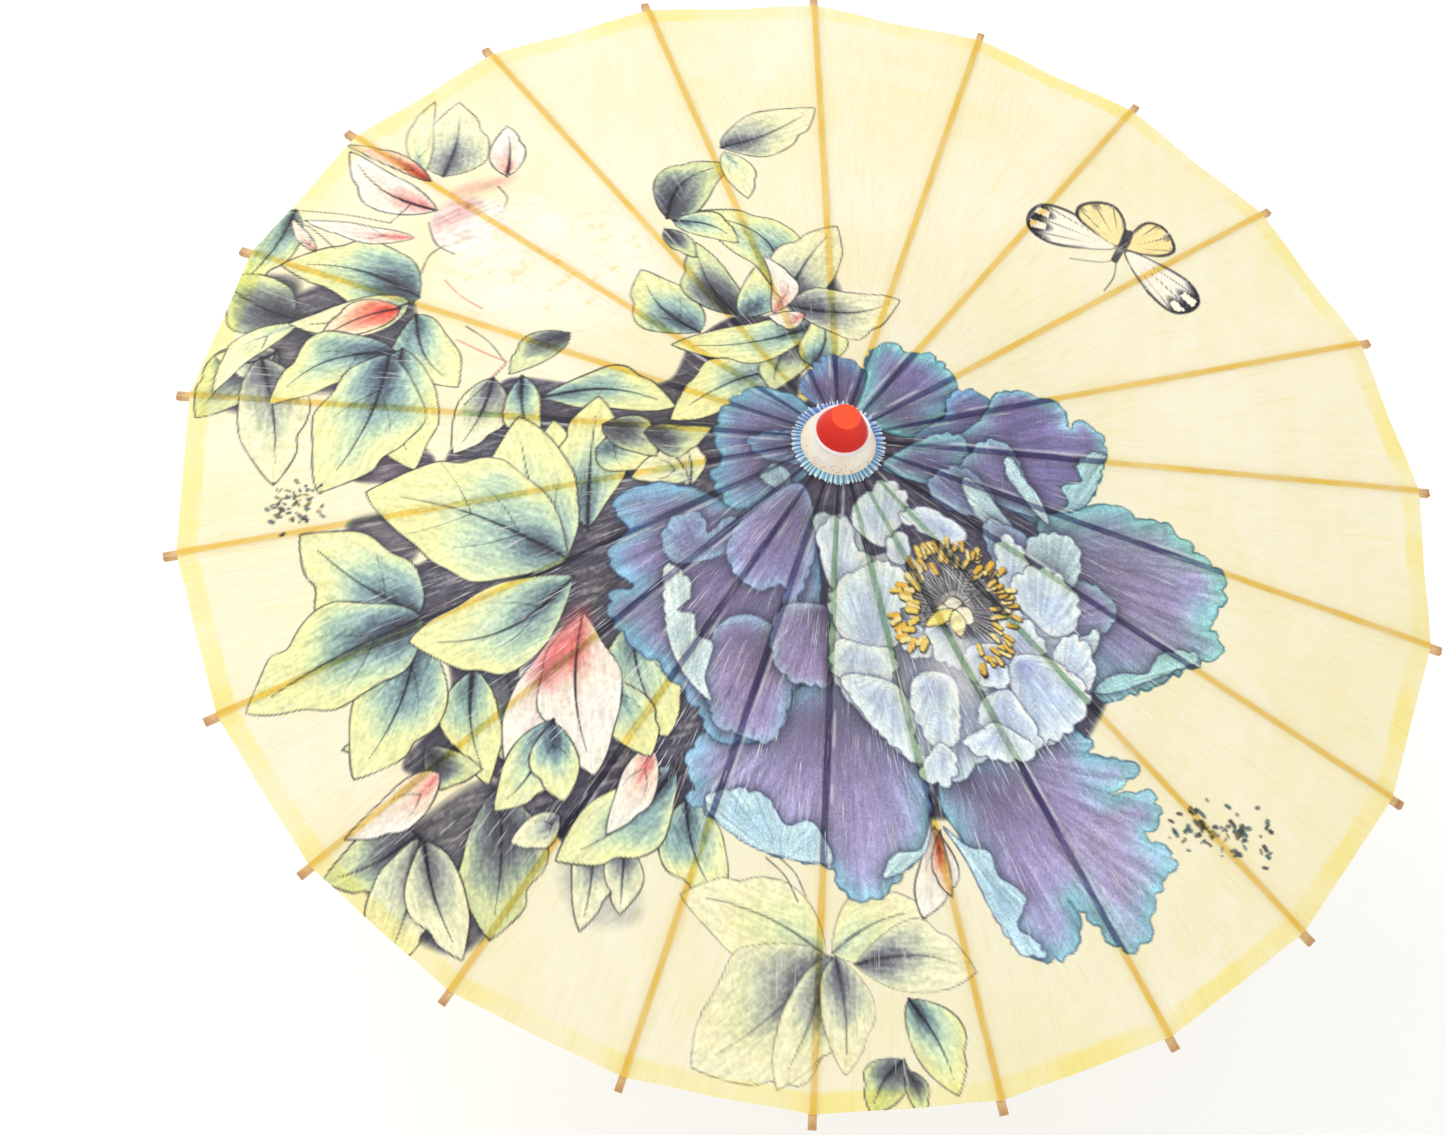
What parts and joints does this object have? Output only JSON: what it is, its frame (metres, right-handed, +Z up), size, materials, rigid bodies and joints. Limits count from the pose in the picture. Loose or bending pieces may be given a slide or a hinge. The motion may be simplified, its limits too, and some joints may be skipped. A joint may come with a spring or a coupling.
{
  "type": "oil paper umbrella",
  "caption": "Open folding parasol: shallow cloth canopy on bamboo ribs and struts hinged in a notched crown and runner, on a straight shaft with a grip and a conical finial.",
  "frame": {"origin": "on the shaft's axis, at the lower end of the grip's round wall", "axes": "+Z up along the shaft from the grip to the finial, +X towards rib 01"},
  "size_m": [0.8408, 0.8328, 0.5946],
  "materials": {
    "canopy_cloth": "thin printed cloth, faintly glossy, cream with a painted flower pattern",
    "collar_cloth": "cream cloth, matte",
    "bamboo": "split bamboo, smooth, unpainted",
    "hub_wood": "turned pale wood, waxed",
    "shaft_wood": "round wooden shaft, thin varnish",
    "grip_wood": "stained and varnished wood",
    "thread": "twisted waxed cotton thread",
    "catch_steel": "bright spring steel",
    "white_plastic": "white, glossy",
    "red_plastic": "red, glossy"
  },
  "bodies": {
    "root": {"shaft": "shaft_wood", "catch_pin": "catch_steel", "grip": "grip_wood", "grip_butt": "grip_wood", "crown_hub": "hub_wood", "crown_thread": "thread", "collar": "collar_cloth", "finial_washer": "white_plastic", "finial_cap": "red_plastic", "canopy_ruffle": "canopy_cloth", "canopy": "canopy_cloth"},
    "runner": {"runner": "hub_wood", "runner_thread": "thread"},
    "catch": {"catch_lever": "catch_steel"},
    "rib_01": {"rib_01": "bamboo"},
    "strut_01": {"strut_01": "bamboo"},
    "rib_02": {"rib_02": "bamboo"},
    "strut_02": {"strut_02": "bamboo"},
    "rib_03": {"rib_03": "bamboo"},
    "strut_03": {"strut_03": "bamboo"},
    "rib_04": {"rib_04": "bamboo"},
    "strut_04": {"strut_04": "bamboo"},
    "rib_05": {"rib_05": "bamboo"},
    "strut_05": {"strut_05": "bamboo"},
    "rib_06": {"rib_06": "bamboo"},
    "strut_06": {"strut_06": "bamboo"},
    "rib_07": {"rib_07": "bamboo"},
    "strut_07": {"strut_07": "bamboo"},
    "rib_08": {"rib_08": "bamboo"},
    "strut_08": {"strut_08": "bamboo"},
    "rib_09": {"rib_09": "bamboo"},
    "strut_09": {"strut_09": "bamboo"},
    "rib_10": {"rib_10": "bamboo"},
    "strut_10": {"strut_10": "bamboo"},
    "rib_11": {"rib_11": "bamboo"},
    "strut_11": {"strut_11": "bamboo"},
    "rib_12": {"rib_12": "bamboo"},
    "strut_12": {"strut_12": "bamboo"},
    "rib_13": {"rib_13": "bamboo"},
    "strut_13": {"strut_13": "bamboo"},
    "rib_14": {"rib_14": "bamboo"},
    "strut_14": {"strut_14": "bamboo"},
    "rib_15": {"rib_15": "bamboo"},
    "strut_15": {"strut_15": "bamboo"},
    "rib_16": {"rib_16": "bamboo"},
    "strut_16": {"strut_16": "bamboo"},
    "rib_17": {"rib_17": "bamboo"},
    "strut_17": {"strut_17": "bamboo"},
    "rib_18": {"rib_18": "bamboo"},
    "strut_18": {"strut_18": "bamboo"},
    "rib_19": {"rib_19": "bamboo"},
    "strut_19": {"strut_19": "bamboo"},
    "rib_20": {"rib_20": "bamboo"},
    "strut_20": {"strut_20": "bamboo"},
    "rib_21": {"rib_21": "bamboo"},
    "strut_21": {"strut_21": "bamboo"},
    "rib_22": {"rib_22": "bamboo"},
    "strut_22": {"strut_22": "bamboo"}
  },
  "joints": [
    {"name": "runner_slide", "type": "slide", "parent": "root", "child": "runner", "axis": [0, 0, -1], "range_m": [0, 0.27685], "deforming": ["canopy", "catch_lever"]},
    {"name": "catch_press", "type": "hinge", "parent": "root", "child": "catch", "pos_m": [0.002, 0, 0.38596], "axis": [0, -1, 0], "range_deg": [0, 4.5], "stiffness_Nm_per_rad": 0.05},
    {"name": "rib_hinge_01", "type": "hinge", "parent": "root", "child": "rib_01", "pos_m": [0.02, 0, 0.555], "axis": [0, 1, 0], "range_deg": [0, 72.5]},
    {"name": "strut_hinge_01", "type": "hinge", "parent": "rib_01", "child": "strut_01", "pos_m": [0.19911, 0, 0.50868], "axis": [0, -1, 0], "range_deg": [0, 145]},
    {"name": "rib_hinge_02", "type": "hinge", "parent": "root", "child": "rib_02", "pos_m": [0.01919, 0.00563, 0.555], "axis": [-0.2817, 0.9595, 0], "range_deg": [0, 72.5]},
    {"name": "strut_hinge_02", "type": "hinge", "parent": "rib_02", "child": "strut_02", "pos_m": [0.19104, 0.05609, 0.50868], "axis": [0.2817, -0.9595, 0], "range_deg": [0, 145]},
    {"name": "rib_hinge_03", "type": "hinge", "parent": "root", "child": "rib_03", "pos_m": [0.01683, 0.01081, 0.555], "axis": [-0.5406, 0.8413, 0], "range_deg": [0, 72.5]},
    {"name": "strut_hinge_03", "type": "hinge", "parent": "rib_03", "child": "strut_03", "pos_m": [0.1675, 0.10765, 0.50868], "axis": [0.5406, -0.8413, 0], "range_deg": [0, 145]},
    {"name": "rib_hinge_04", "type": "hinge", "parent": "root", "child": "rib_04", "pos_m": [0.0131, 0.01511, 0.555], "axis": [-0.7557, 0.6549, 0], "range_deg": [0, 72.5]},
    {"name": "strut_hinge_04", "type": "hinge", "parent": "rib_04", "child": "strut_04", "pos_m": [0.13039, 0.15048, 0.50868], "axis": [0.7557, -0.6549, 0], "range_deg": [0, 145]},
    {"name": "rib_hinge_05", "type": "hinge", "parent": "root", "child": "rib_05", "pos_m": [0.00831, 0.01819, 0.555], "axis": [-0.9096, 0.4154, 0], "range_deg": [0, 72.5]},
    {"name": "strut_hinge_05", "type": "hinge", "parent": "rib_05", "child": "strut_05", "pos_m": [0.08271, 0.18111, 0.50868], "axis": [0.9096, -0.4154, 0], "range_deg": [0, 145]},
    {"name": "rib_hinge_06", "type": "hinge", "parent": "root", "child": "rib_06", "pos_m": [0.00285, 0.0198, 0.555], "axis": [-0.9898, 0.1423, 0], "range_deg": [0, 72.5]},
    {"name": "strut_hinge_06", "type": "hinge", "parent": "rib_06", "child": "strut_06", "pos_m": [0.02834, 0.19708, 0.50868], "axis": [0.9898, -0.1423, 0], "range_deg": [0, 145]},
    {"name": "rib_hinge_07", "type": "hinge", "parent": "root", "child": "rib_07", "pos_m": [-0.00285, 0.0198, 0.555], "axis": [-0.9898, -0.1423, 0], "range_deg": [0, 72.5]},
    {"name": "strut_hinge_07", "type": "hinge", "parent": "rib_07", "child": "strut_07", "pos_m": [-0.02834, 0.19708, 0.50868], "axis": [0.9898, 0.1423, 0], "range_deg": [0, 145]},
    {"name": "rib_hinge_08", "type": "hinge", "parent": "root", "child": "rib_08", "pos_m": [-0.00831, 0.01819, 0.555], "axis": [-0.9096, -0.4154, 0], "range_deg": [0, 72.5]},
    {"name": "strut_hinge_08", "type": "hinge", "parent": "rib_08", "child": "strut_08", "pos_m": [-0.08271, 0.18111, 0.50868], "axis": [0.9096, 0.4154, 0], "range_deg": [0, 145]},
    {"name": "rib_hinge_09", "type": "hinge", "parent": "root", "child": "rib_09", "pos_m": [-0.0131, 0.01511, 0.555], "axis": [-0.7557, -0.6549, 0], "range_deg": [0, 72.5]},
    {"name": "strut_hinge_09", "type": "hinge", "parent": "rib_09", "child": "strut_09", "pos_m": [-0.13039, 0.15048, 0.50868], "axis": [0.7557, 0.6549, 0], "range_deg": [0, 145]},
    {"name": "rib_hinge_10", "type": "hinge", "parent": "root", "child": "rib_10", "pos_m": [-0.01683, 0.01081, 0.555], "axis": [-0.5406, -0.8413, 0], "range_deg": [0, 72.5]},
    {"name": "strut_hinge_10", "type": "hinge", "parent": "rib_10", "child": "strut_10", "pos_m": [-0.1675, 0.10765, 0.50868], "axis": [0.5406, 0.8413, 0], "range_deg": [0, 145]},
    {"name": "rib_hinge_11", "type": "hinge", "parent": "root", "child": "rib_11", "pos_m": [-0.01919, 0.00563, 0.555], "axis": [-0.2817, -0.9595, 0], "range_deg": [0, 72.5]},
    {"name": "strut_hinge_11", "type": "hinge", "parent": "rib_11", "child": "strut_11", "pos_m": [-0.19104, 0.05609, 0.50868], "axis": [0.2817, 0.9595, 0], "range_deg": [0, 145]},
    {"name": "rib_hinge_12", "type": "hinge", "parent": "root", "child": "rib_12", "pos_m": [-0.02, 0, 0.555], "axis": [0, -1, 0], "range_deg": [0, 72.5]},
    {"name": "strut_hinge_12", "type": "hinge", "parent": "rib_12", "child": "strut_12", "pos_m": [-0.19911, 0, 0.50868], "axis": [0, 1, 0], "range_deg": [0, 145]},
    {"name": "rib_hinge_13", "type": "hinge", "parent": "root", "child": "rib_13", "pos_m": [-0.01919, -0.00563, 0.555], "axis": [0.2817, -0.9595, 0], "range_deg": [0, 72.5]},
    {"name": "strut_hinge_13", "type": "hinge", "parent": "rib_13", "child": "strut_13", "pos_m": [-0.19104, -0.05609, 0.50868], "axis": [-0.2817, 0.9595, 0], "range_deg": [0, 145]},
    {"name": "rib_hinge_14", "type": "hinge", "parent": "root", "child": "rib_14", "pos_m": [-0.01683, -0.01081, 0.555], "axis": [0.5406, -0.8413, 0], "range_deg": [0, 72.5]},
    {"name": "strut_hinge_14", "type": "hinge", "parent": "rib_14", "child": "strut_14", "pos_m": [-0.1675, -0.10765, 0.50868], "axis": [-0.5406, 0.8413, 0], "range_deg": [0, 145]},
    {"name": "rib_hinge_15", "type": "hinge", "parent": "root", "child": "rib_15", "pos_m": [-0.0131, -0.01511, 0.555], "axis": [0.7557, -0.6549, 0], "range_deg": [0, 72.5]},
    {"name": "strut_hinge_15", "type": "hinge", "parent": "rib_15", "child": "strut_15", "pos_m": [-0.13039, -0.15048, 0.50868], "axis": [-0.7557, 0.6549, 0], "range_deg": [0, 145]},
    {"name": "rib_hinge_16", "type": "hinge", "parent": "root", "child": "rib_16", "pos_m": [-0.00831, -0.01819, 0.555], "axis": [0.9096, -0.4154, 0], "range_deg": [0, 72.5]},
    {"name": "strut_hinge_16", "type": "hinge", "parent": "rib_16", "child": "strut_16", "pos_m": [-0.08271, -0.18111, 0.50868], "axis": [-0.9096, 0.4154, 0], "range_deg": [0, 145]},
    {"name": "rib_hinge_17", "type": "hinge", "parent": "root", "child": "rib_17", "pos_m": [-0.00285, -0.0198, 0.555], "axis": [0.9898, -0.1423, 0], "range_deg": [0, 72.5]},
    {"name": "strut_hinge_17", "type": "hinge", "parent": "rib_17", "child": "strut_17", "pos_m": [-0.02834, -0.19708, 0.50868], "axis": [-0.9898, 0.1423, 0], "range_deg": [0, 145]},
    {"name": "rib_hinge_18", "type": "hinge", "parent": "root", "child": "rib_18", "pos_m": [0.00285, -0.0198, 0.555], "axis": [0.9898, 0.1423, 0], "range_deg": [0, 72.5]},
    {"name": "strut_hinge_18", "type": "hinge", "parent": "rib_18", "child": "strut_18", "pos_m": [0.02834, -0.19708, 0.50868], "axis": [-0.9898, -0.1423, 0], "range_deg": [0, 145]},
    {"name": "rib_hinge_19", "type": "hinge", "parent": "root", "child": "rib_19", "pos_m": [0.00831, -0.01819, 0.555], "axis": [0.9096, 0.4154, 0], "range_deg": [0, 72.5]},
    {"name": "strut_hinge_19", "type": "hinge", "parent": "rib_19", "child": "strut_19", "pos_m": [0.08271, -0.18111, 0.50868], "axis": [-0.9096, -0.4154, 0], "range_deg": [0, 145]},
    {"name": "rib_hinge_20", "type": "hinge", "parent": "root", "child": "rib_20", "pos_m": [0.0131, -0.01511, 0.555], "axis": [0.7557, 0.6549, 0], "range_deg": [0, 72.5]},
    {"name": "strut_hinge_20", "type": "hinge", "parent": "rib_20", "child": "strut_20", "pos_m": [0.13039, -0.15048, 0.50868], "axis": [-0.7557, -0.6549, 0], "range_deg": [0, 145]},
    {"name": "rib_hinge_21", "type": "hinge", "parent": "root", "child": "rib_21", "pos_m": [0.01683, -0.01081, 0.555], "axis": [0.5406, 0.8413, 0], "range_deg": [0, 72.5]},
    {"name": "strut_hinge_21", "type": "hinge", "parent": "rib_21", "child": "strut_21", "pos_m": [0.1675, -0.10765, 0.50868], "axis": [-0.5406, -0.8413, 0], "range_deg": [0, 145]},
    {"name": "rib_hinge_22", "type": "hinge", "parent": "root", "child": "rib_22", "pos_m": [0.01919, -0.00563, 0.555], "axis": [0.2817, 0.9595, 0], "range_deg": [0, 72.5]},
    {"name": "strut_hinge_22", "type": "hinge", "parent": "rib_22", "child": "strut_22", "pos_m": [0.19104, -0.05609, 0.50868], "axis": [-0.2817, -0.9595, 0], "range_deg": [0, 145]}
  ],
  "couplings": [
    {"joint": "rib_hinge_01", "follows": "runner_slide", "rad_per_m": 4.5705},
    {"joint": "strut_hinge_01", "follows": "runner_slide", "rad_per_m": 9.1411},
    {"joint": "rib_hinge_02", "follows": "runner_slide", "rad_per_m": 4.5705},
    {"joint": "strut_hinge_02", "follows": "runner_slide", "rad_per_m": 9.1411},
    {"joint": "rib_hinge_03", "follows": "runner_slide", "rad_per_m": 4.5705},
    {"joint": "strut_hinge_03", "follows": "runner_slide", "rad_per_m": 9.1411},
    {"joint": "rib_hinge_04", "follows": "runner_slide", "rad_per_m": 4.5705},
    {"joint": "strut_hinge_04", "follows": "runner_slide", "rad_per_m": 9.1411},
    {"joint": "rib_hinge_05", "follows": "runner_slide", "rad_per_m": 4.5705},
    {"joint": "strut_hinge_05", "follows": "runner_slide", "rad_per_m": 9.1411},
    {"joint": "rib_hinge_06", "follows": "runner_slide", "rad_per_m": 4.5705},
    {"joint": "strut_hinge_06", "follows": "runner_slide", "rad_per_m": 9.1411},
    {"joint": "rib_hinge_07", "follows": "runner_slide", "rad_per_m": 4.5705},
    {"joint": "strut_hinge_07", "follows": "runner_slide", "rad_per_m": 9.1411},
    {"joint": "rib_hinge_08", "follows": "runner_slide", "rad_per_m": 4.5705},
    {"joint": "strut_hinge_08", "follows": "runner_slide", "rad_per_m": 9.1411},
    {"joint": "rib_hinge_09", "follows": "runner_slide", "rad_per_m": 4.5705},
    {"joint": "strut_hinge_09", "follows": "runner_slide", "rad_per_m": 9.1411},
    {"joint": "rib_hinge_10", "follows": "runner_slide", "rad_per_m": 4.5705},
    {"joint": "strut_hinge_10", "follows": "runner_slide", "rad_per_m": 9.1411},
    {"joint": "rib_hinge_11", "follows": "runner_slide", "rad_per_m": 4.5705},
    {"joint": "strut_hinge_11", "follows": "runner_slide", "rad_per_m": 9.1411},
    {"joint": "rib_hinge_12", "follows": "runner_slide", "rad_per_m": 4.5705},
    {"joint": "strut_hinge_12", "follows": "runner_slide", "rad_per_m": 9.1411},
    {"joint": "rib_hinge_13", "follows": "runner_slide", "rad_per_m": 4.5705},
    {"joint": "strut_hinge_13", "follows": "runner_slide", "rad_per_m": 9.1411},
    {"joint": "rib_hinge_14", "follows": "runner_slide", "rad_per_m": 4.5705},
    {"joint": "strut_hinge_14", "follows": "runner_slide", "rad_per_m": 9.1411},
    {"joint": "rib_hinge_15", "follows": "runner_slide", "rad_per_m": 4.5705},
    {"joint": "strut_hinge_15", "follows": "runner_slide", "rad_per_m": 9.1411},
    {"joint": "rib_hinge_16", "follows": "runner_slide", "rad_per_m": 4.5705},
    {"joint": "strut_hinge_16", "follows": "runner_slide", "rad_per_m": 9.1411},
    {"joint": "rib_hinge_17", "follows": "runner_slide", "rad_per_m": 4.5705},
    {"joint": "strut_hinge_17", "follows": "runner_slide", "rad_per_m": 9.1411},
    {"joint": "rib_hinge_18", "follows": "runner_slide", "rad_per_m": 4.5705},
    {"joint": "strut_hinge_18", "follows": "runner_slide", "rad_per_m": 9.1411},
    {"joint": "rib_hinge_19", "follows": "runner_slide", "rad_per_m": 4.5705},
    {"joint": "strut_hinge_19", "follows": "runner_slide", "rad_per_m": 9.1411},
    {"joint": "rib_hinge_20", "follows": "runner_slide", "rad_per_m": 4.5705},
    {"joint": "strut_hinge_20", "follows": "runner_slide", "rad_per_m": 9.1411},
    {"joint": "rib_hinge_21", "follows": "runner_slide", "rad_per_m": 4.5705},
    {"joint": "strut_hinge_21", "follows": "runner_slide", "rad_per_m": 9.1411},
    {"joint": "rib_hinge_22", "follows": "runner_slide", "rad_per_m": 4.5705},
    {"joint": "strut_hinge_22", "follows": "runner_slide", "rad_per_m": 9.1411}
  ]
}
